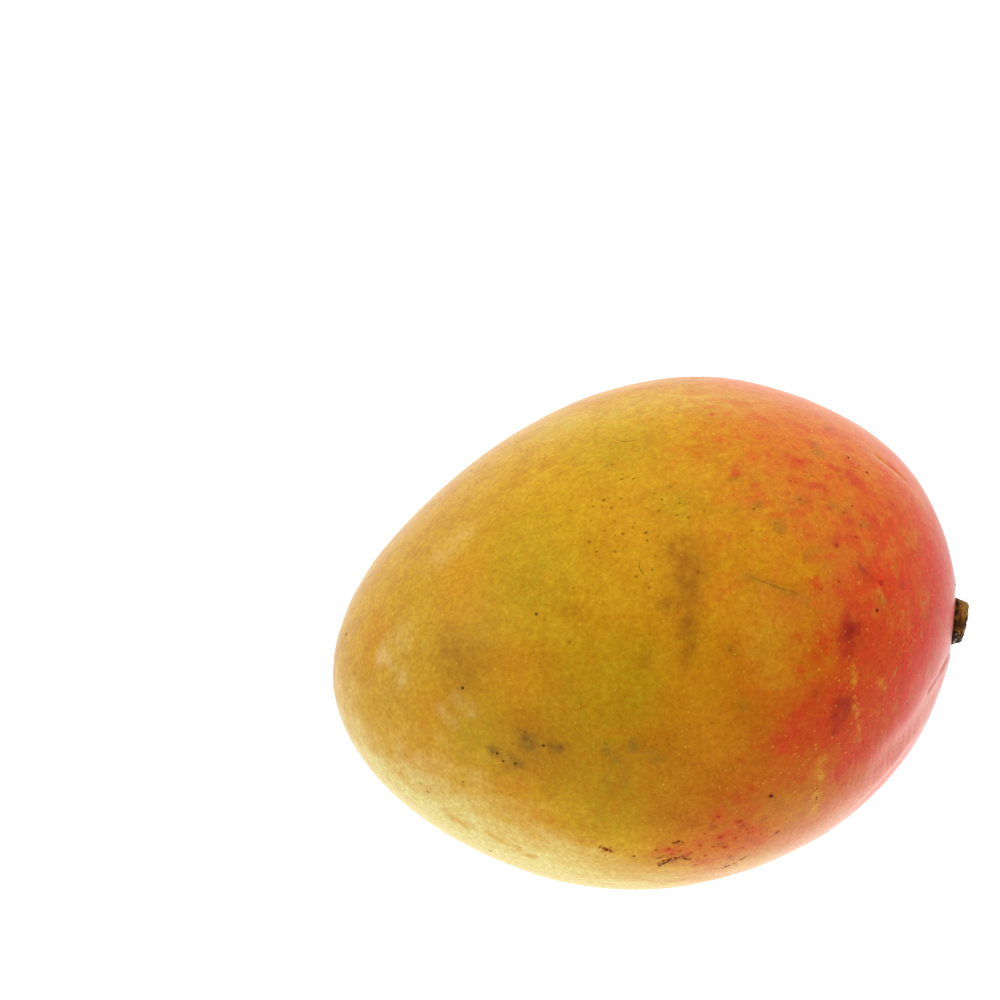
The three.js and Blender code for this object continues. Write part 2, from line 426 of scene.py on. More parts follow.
# %% The stains, each a soft stroke
STAINS = [   # colour, strength, radius mm, then strokes as paths of places on the skin
    (PALE_YELLOW, 0.13, 7, [[(-48, 134), (-36, 137)], [(-50, 158)]]),
    (PALE_YELLOW, 0.24, 6, [[(-14, 74), (4, 78), (20, 84)]]),
    (YELLOW_GOLD, 0.14, 6, [[(-22, 180), (-4, 179)], [(20, 195)]]),
    (BLOTCH, 0.09, 6, [[(13, 154)], [(12, 105)], [(45, 148)]]),
    (BRUISE, 0.20, 6, [[(5, 170)]]),
    (OLIVE, 0.40, 9, [
        [(-26, 120), (-25, 130)], [(-16, 158), (-18, 166)], [(-14, 186)], [(-5, 96)]]),
    (OLIVE, 0.35, 5, [[(-8, 152), (-8, 158)], [(3, 118)], [(-36, 168), (-38, 172)]]),
    (AMBER_TINT, 0.50, 5, [[(-45, 162)], [(-52, 125), (-53, 138)], [(-31, 184), (-28, 192)]]),
    (AMBER_TINT, 0.40, 6, [
        [(-47, 182)], [(-38, 130), (-36, 118)], [(2, 160), (4, 170)], [(-30, 152)]]),
    (BRUISE, 0.45, 3.4, [[(1.6, 127), (2.6, 133), (1.2, 139)]]),
    (BRUISE, 0.48, 2.3, [[(3.0, 131), (2.2, 136)], [(0.6, 129), (1.4, 134)]]),
    (BRUISE, 0.52, 2.1, [[(1.6, 137), (1.2, 143), (0.6, 146)]]),
    (BRUISE, 0.60, 1.9, [[(0.4, 145), (0.9, 148)], [(0.2, 150), (-0.4, 152)], [(-3, 140)]]),
    (BRUISE, 0.55, 1.2, [[(10, 163)], [(8, 151)], [(-7, 152)]]),
    (BRUISE, 0.28, 3.4, [[(-41, 144), (-40, 150)]]),
    (BRUISE, 0.30, 5.5, [[(-40, 146), (-38, 151)], [(-27, 172), (-30, 175)]]),
    (SMUDGE, 0.58, 1.6, [[(-34, 174), (-31, 177)], [(-29, 169.5), (-28, 171)], [(-24, 171)]]),
    (SMUDGE, 0.45, 1.2, [[(-30, 169.5), (-28.5, 171)], [(-24, 171.5)], [(-11, 170.5)]]),
    (SMUDGE, 0.60, 0.75, [[(-38.3, 156.9)], [(-34, 175)]]),
    (BRUISE, 0.40, 0.9, [[(-20, 138.7), (-18, 139)]]),
    (SMUDGE, 0.50, 1.5, [[(-15, 171), (-14, 173)], [(-10, 170.5), (-8.5, 171.5)], [(-6, 173)]]),
    (SMUDGE, 0.30, 0.9, [[(-15, 176), (-15, 182)], [(-12, 175), (-12, 180)], [(-17, 188), (-17, 193)]]),
    (SMUDGE, 0.50, 0.9, [
        [(13.6, 113.3)], [(16.8, 119.8)], [(24.7, 119)], [(22.6, 120.9)], [(24.1, 132.2)],
        [(30.6, 120), (31.6, 120.8)], [(33.2, 121.8)], [(34.8, 119.8)], [(36.5, 124.7)]]),
    (SMUDGE, 0.45, 1.3, [[(30.7, 101.2), (31, 103.8)], [(35.3, 92.4)], [(20, 126)]]),
    (SMUDGE, 0.34, 0.9, [[(12, 136), (16, 138), (20, 140), (23, 142)]]),
    (SMUDGE, 0.35, 0.8, [[(-7, 100)], [(2, 112)], [(12, 121)], [(26, 119)], [(26, 132)]]),
    (YELLOW, 0.75, 1.1, [
        [(-43, 205), (-41.8, 206.3), (-39.4, 208.4)], [(-35.5, 206), (-31, 209), (-28, 210)]]),
    # painted shade in the fold by the stem, along the first fold pressed in above
    (DEEP_BLOTCH, 0.50, 0.9, [[(53.9, 179.2), (51.9, 180), (49.9, 180.8)]]),
    (RUBBED, 0.72, 1.7, [[(-52, 143), (-51, 147)], [(-49, 155)]]),
    (RUBBED, 0.42, 1.5, [[(-40, 161)], [(-41.5, 168)], [(-43, 165)], [(-38, 164)]]),
    (RUBBED, 0.35, 3.0, [[(-45, 196)], [(-48, 134), (-50, 140)], [(-35, 100), (-40, 104)]]),
    (BLOTCH, 0.85, 1.1, [
        [(25, 106.5), (28, 108)], [(33, 108.5), (34, 110)], [(36, 110), (37.5, 112)],
        [(28, 114.5), (30, 116)], [(37, 113), (39, 115)], [(43, 116), (44, 118)]]),
    (BLOTCH, 0.45, 1.3, [
        [(21, 90.5), (23.5, 93)], [(18.5, 83), (21, 85)], [(28, 93), (31, 95)],
        [(36.6, 90.5), (38.8, 92)]]),
    (BLOTCH, 0.80, 1.1, [[(14, 111.5)], [(17, 115)], [(34, 124)], [(38, 121), (39, 123)], [(31, 129)]]),
    (BLOTCH, 0.50, 1.6, [[(5, 190)], [(9, 193)], [(12, 190)], [(7, 197)], [(2, 197)], [(12, 197)]]),
    (BLOTCH, 0.50, 1.5, [[(-5, 200), (-1, 201)], [(2, 205), (5, 206)], [(9, 203)], [(14, 203)]]),
    (BLOTCH, 0.25, 3.6, [[(-4, 201), (12, 201)]]),
    (BLOTCH, 0.60, 2.6, [[(31, 147), (30, 156)], [(28, 164), (27, 174)], [(20, 168), (17, 174)]]),
    (BLOTCH, 0.45, 5.0, [[(36, 150), (34, 170)], [(24, 166), (22, 172)]]),
    (DEEP_BLOTCH, 0.90, 2.3, [[(31, 150), (31, 153)], [(29, 167.5), (28.5, 170)]]),
    (DEEP_BLOTCH, 0.60, 1.1, [
        [(34.1, 135), (35.5, 138)], [(38.5, 144)], [(27, 173)], [(24, 163)], [(30, 130)]]),
    (DEEP_BLOTCH, 0.75, 0.9, [[(-3, 204), (0, 203)], [(-15, 200)], [(43, 140)], [(9, 207)]]),
    (DEEP_BLOTCH, 0.60, 0.8, [[(4, 193)], [(10, 195)], [(6, 200)], [(12, 201)], [(14, 194)]]),
    (YELLOW, 0.30, 0.7, [[(31, 158), (31.4, 163)], [(31.5, 168), (32, 171)], [(32, 175), (32.4, 179)]]),
    (YELLOW, 0.35, 1.1, [[(25, 181), (24.4, 186)], [(24.6, 192), (24.5, 199)], [(31.5, 97.5), (33, 98.5)]]),
    (YELLOW, 0.30, 0.7, [[(37, 165), (37.5, 167)], [(38, 142), (38.5, 144)], [(37, 147)], [(41, 108)]]),
    (YELLOW, 0.30, 4.0, [[(12, 143), (17, 147)], [(14, 152), (16, 157)]]),
]


# %% Painting them on the mesh
def wandering(points, size, reach):
    """Points pushed about by smooth noise, so that a round spot takes a ragged outline."""
    pushes = [noise.noise_vector(Vector(point) / size) for point in points]
    return points + np.array(pushes) * reach


def keep(mesh, name, kind, values):
    """Keeps a number, vector or colour for each point of a mesh, under a name."""
    field = {"FLOAT": "value", "FLOAT_VECTOR": "vector", "FLOAT_COLOR": "color"}[kind]
    flat = np.array(values, dtype=np.float32).ravel()
    mesh.attributes.new(name, kind, "POINT").data.foreach_set(field, flat)


WANDER_SIZE, WANDER_REACH = 2.6 * MM, 1.1 * MM
WANDER_SEED = 7           # without one, vector noise changes from run to run
PATCH_SIZE, PATCH_DEPTH = 1.7 * MM, 0.9
MOST_COVER = 0.95
EDGE_POWER = 2.2          # more than 2 gives a flatter middle and a steeper edge
paint = np.zeros((len(places_now), 4))
noise.seed_set(WANDER_SEED)
spread_places = wandering(places_now, WANDER_SIZE, WANDER_REACH)
mottling = np.array([noise.noise(Vector(place) / PATCH_SIZE) for place in places_now])
patchy = 1 + PATCH_DEPTH * mottling
for colour, strength, radius, strokes in STAINS:
    for places in strokes:
        gap = distance_to_path(spread_places, path_on_skin(places)) / (radius * MM)
        cover = np.clip(strength * patchy, 0, MOST_COVER) * np.exp(-gap ** EDGE_POWER)
        paint *= (1 - cover)[:, None]
        paint += cover[:, None] * np.array((*colour, 1.0))
keep(skin.data, "stains", "FLOAT_COLOR", paint)


def give_stains(mesh, points):
    """Gives loose points on the skin the stain of the skin next to them."""
    nearest = [int(np.argmin(np.linalg.norm(places_now - np.array(point), axis=1)))
               for point in points]
    keep(mesh, "stains", "FLOAT_COLOR", paint[nearest])


print("stained share of the skin:", round(float((paint[:, 3] > 0.1).mean()), 2))

# %% [markdown]
# ## The colour of the ripe skin
#
# A mango ripens from green to gold, and where it hung in the sun it blushes red from the stem end
# on. The two meet in orange, with no line between them, but broken by streaks and blotches. An
# image would fix that pattern for one view. Here it is a formula of the place on the fruit, kept
# in a group, so that the skin, its pores and its dots all take the same colour at one place.

# %% A group of shader nodes, and the place on the fruit
COLOUR = "NodeSocketColor"


def new_group(name, inputs, outputs):
    """An empty shader group with named sockets, and its inputs."""
    group = bpy.data.node_groups.new(name, "ShaderNodeTree")
    for socket_name, (kind, default) in inputs.items():
        socket = group.interface.new_socket(socket_name, in_out="INPUT", socket_type=kind)
        socket.default_value = default
    for socket_name, kind in outputs.items():
        group.interface.new_socket(socket_name, in_out="OUTPUT", socket_type=kind)
    return group, group.nodes.new("NodeGroupInput").outputs


def place_in_mm(tree):
    """The place on the fruit, in millimetres from the middle of the body."""
    place = add_node(tree, "ShaderNodeTexCoord").outputs["Object"]
    return scaled(tree, vector_math(tree, "SUBTRACT", place, tuple(MIDDLE)), 1 / MM)


# %% Noise, spots and blends
def smooth_noise(tree, place, size, detail=2.0, roughness=0.5, stretch=(1, 1, 1), offset=(0, 0, 0)):
    """Smooth noise from 0 to 1 with lumps of a given size in mm, stretched where asked."""
    placed = vector_math(tree, "MULTIPLY_ADD", place, stretch, offset)
    made = add_node(tree, "ShaderNodeTexNoise", {
        "Vector": placed, "Scale": 1 / size, "Detail": detail, "Roughness": roughness})
    return Value(tree, made.outputs[0])


def soft_spots(tree, place, spacing, share):
    """Soft round spots, 1 in the middle. The share says how many places have one, from 0 to 1."""
    cells = add_node(tree, "ShaderNodeTexVoronoi", {"Vector": place, "Scale": 1 / spacing})
    chance = split(tree, cells.outputs["Color"])
    reach = chance[1] * 0.35 + 0.30
    near = (Value(tree, cells.outputs["Distance"]) / reach).math("MINIMUM", 1.0)
    return (opposite(near * near)) * chance[0].math("LESS_THAN", share)


def ramp(tree, value, start, end):
    """0 at the start, 1 at the end, and smooth in between."""
    made = add_node(tree, "ShaderNodeMapRange", {
        "Value": value, "From Min": start, "From Max": end}, interpolation_type="SMOOTHSTEP")
    return Value(tree, made.outputs["Result"])


def mix(tree, factor, first, second):
    """The first colour where the factor is 0 and the second where it is 1."""
    made = add_node(tree, "ShaderNodeMix", {0: factor, 6: first, 7: second}, data_type="RGBA")
    return made.outputs[2]


def colour_ramp(tree, value, stops):
    """A colour for each value, through the given (value, colour) stops."""
    made = add_node(tree, "ShaderNodeValToRGB", {0: value})
    elements = made.color_ramp.elements
    while len(elements) < len(stops):
        elements.new(1.0)
    for element, (position, colour) in zip(elements, stops):
        element.position = position
        element.color = (*colour, 1)
    return made.outputs["Color"]


def stored(tree, name, output="Fac"):
    """What the mesh keeps under a name: a number, or one output of a colour."""
    made = add_node(tree, "ShaderNodeAttribute", attribute_name=name)
    return Value(tree, made.outputs[output])


# %% The ripe colours, as linear red, green and blue
GOLD = (0.64, 0.345, 0.010)
AMBER = (0.64, 0.275, 0.008)
ORANGE = (0.65, 0.180, 0.008)
VERMILION = (0.69, 0.088, 0.006)
RED = (0.76, 0.034, 0.008)
CRIMSON = (0.77, 0.030, 0.018)
OCHRE = (0.52, 0.215, 0.004)
BRIGHT_GOLD = (0.72, 0.43, 0.012)
FLECK_ORANGE = (0.66, 0.20, 0.008)
# The low rim towards the tip: its own paler underside, made paler still by painted light from the floor
FLOOR_LIT_PALE_GOLD = (0.84, 0.46, 0.05, 1)
FLOOR_LIT_PALE_FOOT = (0.79, 0.66, 0.22, 1)
# Painted reflection of the bright floor on the low rim of the stem half
PALE_FLOOR_REFLECTION = (0.86, 0.58, 0.45, 1)
CREAM_FLOOR_REFLECTION = (0.80, 0.74, 0.42, 1)
# Painted sheen in the streaks of wax on the low front of the stem half
PAINTED_STREAK_SHEEN = (0.80, 0.42, 0.30)
# Painted sheen, pale pink, on the top of the red half and towards the tip
PAINTED_SHEEN_PINK = (0.90, 0.66, 0.66)
FRECKLE_RED = (0.64, 0.062, 0.006)
STEM_RED = (0.40, 0.026, 0.012)
STEM_HALO = (0.20, 0.016, 0.008)
# Painted shade on the low front: the share of each colour that it keeps
LOW_SHADE_KEEPS = (0.83, 0.53, 0.5)        # what the low front keeps of each colour
REDDENED = (0.88, 0.50, 0.7)        # what the deep red patches keep

# %% Where the fruit blushes
SUNNY_SIDE = (0, -0.825, 0.566)     # the side where the blush starts nearest to the stem
OTHER_SIDE = (0, 0.566, 0.825)      # a quarter turn on from it
BLUSH_START = 7.0                   # mm along the fruit where gold and red are even
BLUSH_HOLLOW = 15.0                 # mm further along on the sunny side
BLUSH_SPREAD = 76.0                 # mm from pure gold to pure red
BLUSH_DRIFT = 24                    # mm that its edge wanders in broad lobes
BLUSH_WISPS = 44                    # mm that it frays into wisps

skin_colour, _ = new_group("mango_colour", {}, {
    "Colour": COLOUR, "Blush": FLOAT, "Streaks": FLOAT})
t = skin_colour
p = place_in_mm(t)
x, y, z = split(t, p)
radius = (y * y + z * z + 1.0) ** 0.5
facing = vector_math(t, "DOT_PRODUCT", p, SUNNY_SIDE) / radius
aside = vector_math(t, "DOT_PRODUCT", p, OTHER_SIDE)
edge = facing * BLUSH_HOLLOW + BLUSH_START
drift = (smooth_noise(t, p, 22, 1) - 0.5) * BLUSH_DRIFT
wisps = (smooth_noise(t, p, 6.0, 5, 0.66, stretch=(0.7, 1, 1)) - 0.5) * BLUSH_WISPS
red_reach = x - edge + drift + wisps - ramp(t, aside, -25, -36) * ramp(t, x, 6, 18) * 15
reach = red_reach - ramp(t, aside, -5, 30) * ramp(t, red_reach, -5, 35) * 22
reach = reach - ramp(t, aside, 22, 44) * ramp(t, x, 24, 0) * 16
blush = (reach / BLUSH_SPREAD + 0.5).math("MAXIMUM", 0.0).math("MINIMUM", 1.0)
ripe = colour_ramp(t, blush, [
    (0.0, GOLD), (0.28, AMBER), (0.5, ORANGE), (0.67, VERMILION), (0.84, RED), (1.0, CRIMSON)])

# %% What breaks the colour up: ochre patches and golden specks
ochre_patch = ramp(t, smooth_noise(t, p, 7, 5, 0.66, offset=(40, 7, 3)), 0.38, 0.68)
ripe = mix(t, ochre_patch * 0.60 * ramp(t, blush, 0.7, 0.3), ripe, (*OCHRE, 1))
speckle = ramp(t, smooth_noise(t, p, 2.2, 4, 0.7, offset=(9, 3, 70)), 0.48, 0.70)
ripe = mix(t, speckle * 0.38 * ramp(t, blush, 0.6, 0.3), ripe, (*BRIGHT_GOLD, 1))
deepest = vector_math(t, "MULTIPLY", ripe, REDDENED)
ripe = mix(t, speckle * 0.8 * ramp(t, blush, 0.5, 0.75), ripe, deepest)

# %% Red freckles and orange flecks, where gold turns to red
wobble = add_node(t, "ShaderNodeTexNoise", {"Vector": p, "Scale": 0.45, "Detail": 2.0})
wobbly = vector_math(t, "MULTIPLY_ADD", wobble.outputs["Color"], (3.0, 3.0, 3.0), p)
freckle = soft_spots(t, wobbly, 4.2, 0.60) * 0.70 + soft_spots(t, wobbly, 2.0, 0.45) * 0.6
freckle = freckle * (smooth_noise(t, p, 1.4, 2, 0.7) * 2.2 - 0.1)
freckle_band = ramp(t, red_reach, -22, 12)
ripe = mix(t, (freckle * freckle_band).math("MINIMUM", 0.85), ripe, (*FRECKLE_RED, 1))
flecks = smooth_noise(t, wobbly, 3.2, 5, 0.72, stretch=(1, 0.7, 0.7), offset=(3, 20, 31))
fleck = ramp(t, flecks, 0.47, 0.66)
fleck_band = ramp(t, reach, -6, 6) * ramp(t, reach, 54, 26)
ripe = mix(t, fleck * fleck_band * 0.62, ripe, (*FLECK_ORANGE, 1))

# %% Painted shade low in front, and a pale low rim towards the tip, partly its own and partly painted floor light
low_left = z + x.math("MAXIMUM", -42.0) * 0.6
# Painted shade: the low front, which faces the dim room, is darkened in the colour itself
low_front_shade = ramp(t, z, 40, -2) * ramp(t, low_left, -22, -8) * ramp(t, x, -54, -12)
redder = ramp(t, z, -6, -22) * 0.11 + LOW_SHADE_KEEPS[0]
shaded_low_front = vector_math(t, "MULTIPLY", ripe, join(t, redder, LOW_SHADE_KEEPS[1], LOW_SHADE_KEEPS[2]))
ripe = mix(t, low_front_shade, ripe, shaded_low_front)
smear = smooth_noise(t, p, 4, 3, stretch=(0.4, 1, 1), offset=(80, 4, 3)) * 26 - 12
# The low rim towards the tip is paler: partly the skin's own pale underside, partly painted light from the
# bright floor below
pale = ramp(t, low_left + smear, -15, -42)
pale = pale * ramp(t, facing, -1.0, 0.35)
ripe = mix(t, pale, ripe, mix(t, pale, FLOOR_LIT_PALE_GOLD, FLOOR_LIT_PALE_FOOT))

# %% A painted reflection of the bright floor along the low edge of the stem half
HALF_LENGTH, HALF_WIDTH, HALF_GIRTH = 57, 50, 45     # mm
out_share = ((x / HALF_LENGTH) ** 2 + (aside / HALF_WIDTH) ** 2) ** 0.5 + smear * 0.003
floor_reflection_rim = ramp(t, out_share, 0.82, 0.99) * ramp(t, aside, -6, -22) * ramp(t, x, -30, 0)
floor_reflection_rim = floor_reflection_rim * ramp(t, radius, 14, 34) * ramp(t, facing, -0.3, 0.5)
floor_reflection_tone = mix(t, ramp(t, x, 22, 46), CREAM_FLOOR_REFLECTION, PALE_FLOOR_REFLECTION)
ripe = mix(t, floor_reflection_rim * 0.24, ripe, floor_reflection_tone)

# %% Darker round the stem, and then the painted stains
HALO_RADIUS = 7.5                   # mm
stem_gap = vector_math(t, "DISTANCE", p, tuple(SEAT / MM))
ripe = mix(t, ramp(t, stem_gap, 34, 8) * 0.35, ripe, (*STEM_RED, 1))
halo = bell((stem_gap / HALO_RADIUS) ** 3) * ramp(t, smooth_noise(t, p, 2.5, 2), 0.2, 0.7)
ripe = mix(t, halo, ripe, (*STEM_HALO, 1))
unstained = opposite(stored(t, "stains", "Alpha"))
ripe = vector_math(t, "MULTIPLY_ADD", ripe, unstained, stored(t, "stains", "Color"))

# %% Fine mottling, a painted sheen, and the streaks of wax that run round the shoulder, whose pale colour is painted sheen
fine = smooth_noise(t, p, 0.9, 2, 0.7) * 0.44 + 0.78
ripe = vector_math(t, "MULTIPLY", ripe, join(t, fine, fine ** 2, fine ** 4))
# Painted sheen: a pale pink wash over the top of the red half and towards the tip, where the light from
# above and behind would be reflected
painted_sheen = ramp(t, blush, 0.35, 0.65) * ramp(t, z, 16, 34) * 0.022 + ramp(t, x, -12, -45) * 0.016
ripe = mix(t, painted_sheen, ripe, (*PAINTED_SHEEN_PINK, 1))
angle = aside.math("ARCTAN2", facing * radius)
unrolled = join(t, x, angle * HALF_GIRTH, radius)
streak = ramp(t, smooth_noise(t, unrolled, 1.0, 3, stretch=(1, 0.10, 0.3)), 0.42, 0.68)
streak = streak * ramp(t, x, 22, 44) * ramp(t, radius, 18, 30)
streak = streak * ramp(t, facing, 0.0, 0.6) * ramp(t, z, 8, -12)
# The streaks are real in the wax's roughness and grain; the pale colour laid along them here is painted
# sheen
ripe = mix(t, streak * 0.24, ripe, (*PAINTED_STREAK_SHEEN, 1))
add_node(t, "NodeGroupOutput", {"Colour": ripe, "Blush": blush, "Streaks": streak})

# %% [markdown]
# ## The skin's finish
#
# The skin is waxy: softly glossy, with a peel-like grain and broad shallow dents that break up
# the sheen. Fresnel, which the shader has built in, makes it paler where it is seen edge on.

# %% The skin's material
def new_material(name, material=None):
    """A material's tree and its main shader."""
    material = material or bpy.data.materials.new(name)
    material.use_nodes = True
    return material, material.node_tree, material.node_tree.nodes["Principled BSDF"]


WAX_IOR = 1.42
WAX_TINT = (1.0, 0.65, 0.20, 1)
SHEEN_TINT = (1.0, 0.92, 0.8, 1)


def waxy_skin(tree, shader, colour, streaks=None):
    """The gloss and grain that everything made of skin shares."""
    p = place_in_mm(tree)
    rough = smooth_noise(tree, p, 5, 2) * 0.12 + 0.26
    grain = smooth_noise(tree, p, 0.8, 1) * 0.022 + smooth_noise(tree, p, 3.5, 1) * 0.06
    if streaks:
        grain = grain + streaks * 0.005
        rough = rough + streaks * 0.05
    bump = add_node(tree, "ShaderNodeBump", {"Height": grain, "Distance": MM})
    plug(tree, shader, {
        "Base Color": colour, "Roughness": rough, "Normal": bump.outputs[0],
        "IOR": WAX_IOR, "Specular IOR Level": 0.15, "Specular Tint": WAX_TINT,
        "Sheen Weight": 0.12, "Sheen Roughness": 0.22, "Sheen Tint": SHEEN_TINT})


_, t, shader = new_material("mango_skin", skin_material)
painted = add_node(t, "ShaderNodeGroup", node_tree=skin_colour)
waxy_skin(t, shader, painted.outputs["Colour"], Value(t, painted.outputs["Streaks"]))
dress(skin, "fruit")

# %% [markdown]
# ## Domes on the skin
#
# A mango's skin is covered in lenticels, pale breathing pores as small as a pinhead, and here and
# there a pore has died and turned black. Both are tiny domes. One tree puts a dome on each point
# that it is given, so it serves the thousands of pale pores and the few dark dots alike.

# %% A tree that puts a dome on each point
dome_tree, given = new_tree("domes_on_points", {
    "Geometry": (GEOMETRY, None),
    "Sides": (INT, 7),
    "Height": (FLOAT, 0.12),
    "Material": (MATERIAL, None),
})
t = dome_tree
rise = given["Height"]
dome = add_node(t, "GeometryNodeMeshCone", {
    "Vertices": given["Sides"], "Radius Top": 0.0, "Radius Bottom": 1.0, "Depth": rise},
    fill_type="NGON")


def store(tree, geometry, name, value, kind, domain="POINT"):
    """Keeps a value on the geometry under a name."""
    return add_node(tree, "GeometryNodeStoreNamedAttribute", {
        "Geometry": geometry, "Name": name, "Value": value},
        data_type=kind, domain=domain).outputs["Geometry"]


def read(tree, name, kind):
    """Reads back a value that was kept under a name."""
    made = add_node(tree, "GeometryNodeInputNamedAttribute", {"Name": name}, data_type=kind)
    return Value(tree, made.outputs["Attribute"])


here = position(t)
flat_here = vector_math(t, "MULTIPLY", here, (1, 1, 0))
core = opposite(vector_math(t, "LENGTH", flat_here))
dome_mesh = store(t, dome.outputs["Mesh"], "core", core, "FLOAT")
dome_mesh = store(t, dome_mesh, "on_dome", here, "FLOAT_VECTOR")
face_up = split(t, add_node(t, "GeometryNodeInputNormal").outputs[0])[2]
dome_mesh = store(t, dome_mesh, "under", face_up.math("LESS_THAN", 0), "FLOAT", "FACE")

# %% Setting the domes upright on their points
number = add_node(t, "GeometryNodeInputIndex").outputs[0]
numbered = store(t, given["Geometry"], "number", number, "INT")
upright_turn = add_node(t, "FunctionNodeAlignRotationToVector", {
    "Vector": read(t, "upright", "FLOAT_VECTOR")}, axis="Z")
size = read(t, "size", "FLOAT")
placed = add_node(t, "GeometryNodeInstanceOnPoints", {
    "Points": numbered, "Instance": dome_mesh,
    "Rotation": upright_turn.outputs[0], "Scale": join(t, size, size, size)})
real = add_node(t, "GeometryNodeRealizeInstances", {"Geometry": placed.outputs[0]}).outputs[0]

# %% A map for baking, with one square for each dome
how_many = add_node(t, "GeometryNodeAttributeDomainSize", {
    "Geometry": numbered}).outputs["Point Count"]
columns = (Value(t, how_many) ** 0.5).math("CEIL").math("MAXIMUM", 1.0)
dome_number = read(t, "number", "INT")
row = (dome_number / columns).math("FLOOR")
column = dome_number - row * columns
under = read(t, "under", "FLOAT")
across_x, across_y, _ = split(t, read(t, "on_dome", "FLOAT_VECTOR"))
SHOWN, HIDDEN = 0.42, 0.02       # shares of the square for the dome and for its underside
room = under * (HIDDEN - SHOWN) + SHOWN
shift = under * -0.45 + 0.5
map_place = join(
    t, (across_x * room + shift + column) / columns, (across_y * room + shift + row) / columns, 0.0)
mapped = store(t, real, "OFBake", map_place, "FLOAT2", "CORNER")
end_tree(t, mapped, given["Material"])

# %% [markdown]
# ## Lenticels
#
# They are spaced out over the whole skin, never touching, a little denser towards the stem. A Poisson
# scatter keeps them apart, and noise makes them denser in broad patches rather than towards the stem. The
# cavity of the stem and the flat spot underneath have none.

# %% Scattering the lenticels
lenticel_tree, given = new_tree("lenticels", {
    "Geometry": (GEOMETRY, None),
    "Spacing": (FLOAT, 0.75 * MM),
    "Density": (FLOAT, 620000.0),
    "Radius": (FLOAT, 0.25 * MM),
    "Seed": (INT, 7),
    "Material": (MATERIAL, None),
})
t = lenticel_tree
here = position(t)
BARE_ABOVE_FLOOR, BARE_ROUND_STEM = 1.2 * MM, 7.5 * MM
off_floor = split(t, here)[2].math("GREATER_THAN", BARE_ABOVE_FLOOR)
seat_place = tuple(MIDDLE + SEAT)
off_stem = vector_math(t, "DISTANCE", here, seat_place).math("GREATER_THAN", BARE_ROUND_STEM)
crowding = smooth_noise(t, scaled(t, here, 1 / MM), 8, 3, 0.6) * 3.0 - 0.95
crowding = crowding.math("MAXIMUM", 0.2).math("MINIMUM", 1.0)
scattered = add_node(t, "GeometryNodeDistributePointsOnFaces", {
    "Mesh": given["Geometry"], "Selection": off_floor * off_stem,
    "Distance Min": given["Spacing"], "Density Max": given["Density"],
    "Density Factor": crowding, "Seed": given["Seed"],
}, distribute_method="POISSON")
chance = add_node(t, "FunctionNodeRandomValue", {2: 0.45, 3: 1.45, "Seed": given["Seed"]})
points = scattered.outputs["Points"]
points = store(t, points, "upright", scattered.outputs["Normal"], "FLOAT_VECTOR")
each_size = Value(t, given["Radius"]) * Value(t, chance.outputs[1])
points = store(t, points, "size", each_size, "FLOAT")
fading = add_node(t, "FunctionNodeRandomValue", {2: 0.0, 3: 1.0, "Seed": 3})
paleness = Value(t, fading.outputs[1]) ** 3 * 0.60 + 0.13
points = store(t, points, "paleness", paleness, "FLOAT")
domes = add_node(t, "GeometryNodeGroup", {
    "Geometry": points, "Material": given["Material"]}, node_tree=dome_tree)
end_tree(t, domes.outputs[0], given["Material"])

# %% Their material: the skin's own colour at the rim, paler in the middle
LENTICEL_PALE = (0.82, 0.50, 0.05, 1)
lenticel_material, t, shader = new_material("lenticel")
painted = add_node(t, "ShaderNodeGroup", node_tree=skin_colour)
core = stored(t, "core")
paleness = stored(t, "paleness")
contrast = opposite(Value(t, painted.outputs["Blush"]) * 0.25)
lightened = ramp(t, core, 0.0, 1.0) * paleness * contrast
colour = mix(t, lightened, painted.outputs["Colour"], LENTICEL_PALE)
waxy_skin(t, shader, colour)
lenticels = grow("lenticels", lenticel_tree, {"Material": lenticel_material}, base=skin.data)
dress(lenticels)

# %% [markdown]
# ## Pores that ran together
#
# Where the skin was scratched as it grew, pores opened in rows and healed as pale cork. Each row
# is a path on the skin with pale domes strewn along it, of all sizes, so that it looks broken.

# %% Loose points that the domes can grow on
def points_on_skin(name, marks, shade):
    """A mesh of loose points on the skin, each with its size, its shade and its upright."""
    found = [on_skin(along, around) for along, around, _, _ in marks]
    mesh = bpy.data.meshes.new(name)
    mesh.from_pydata([point for point, _ in found], [], [])
    keep(mesh, "size", "FLOAT", [radius * MM for _, _, radius, _ in marks])
    keep(mesh, shade, "FLOAT", [value for _, _, _, value in marks])
    keep(mesh, "upright", "FLOAT_VECTOR", [normal for _, normal in found])
    give_stains(mesh, [point for point, _ in found])
    return mesh


# %% Rows of pale pores
DEGREES_PER_MM = 1.3
PORE_ROWS = [   # how strewn in mm, how many, then the path as places on the skin
    (0.15, 24, [(31.2, 157), (31.6, 161), (31.2, 164)]),
    (0.15, 44, [(31.5, 166), (32.2, 169), (31.8, 172), (32.4, 176)]),
    (0.50, 12, [(25.8, 179), (25.0, 183), (24.4, 187)]),
    (0.55, 16, [(24.4, 189), (24.2, 193), (24.8, 199)]),
    (0.30, 8, [(37.2, 163), (37.8, 166), (38.0, 168)]),
    (0.25, 6, [(38, 141), (38.6, 145)]),
    (3.20, 56, [(18, 178), (22, 186), (26, 198)]),
    (3.00, 40, [(26, 150), (31, 160), (34, 174)]),
    (1.60, 14, [(-27, 100), (-22, 101)]),
]


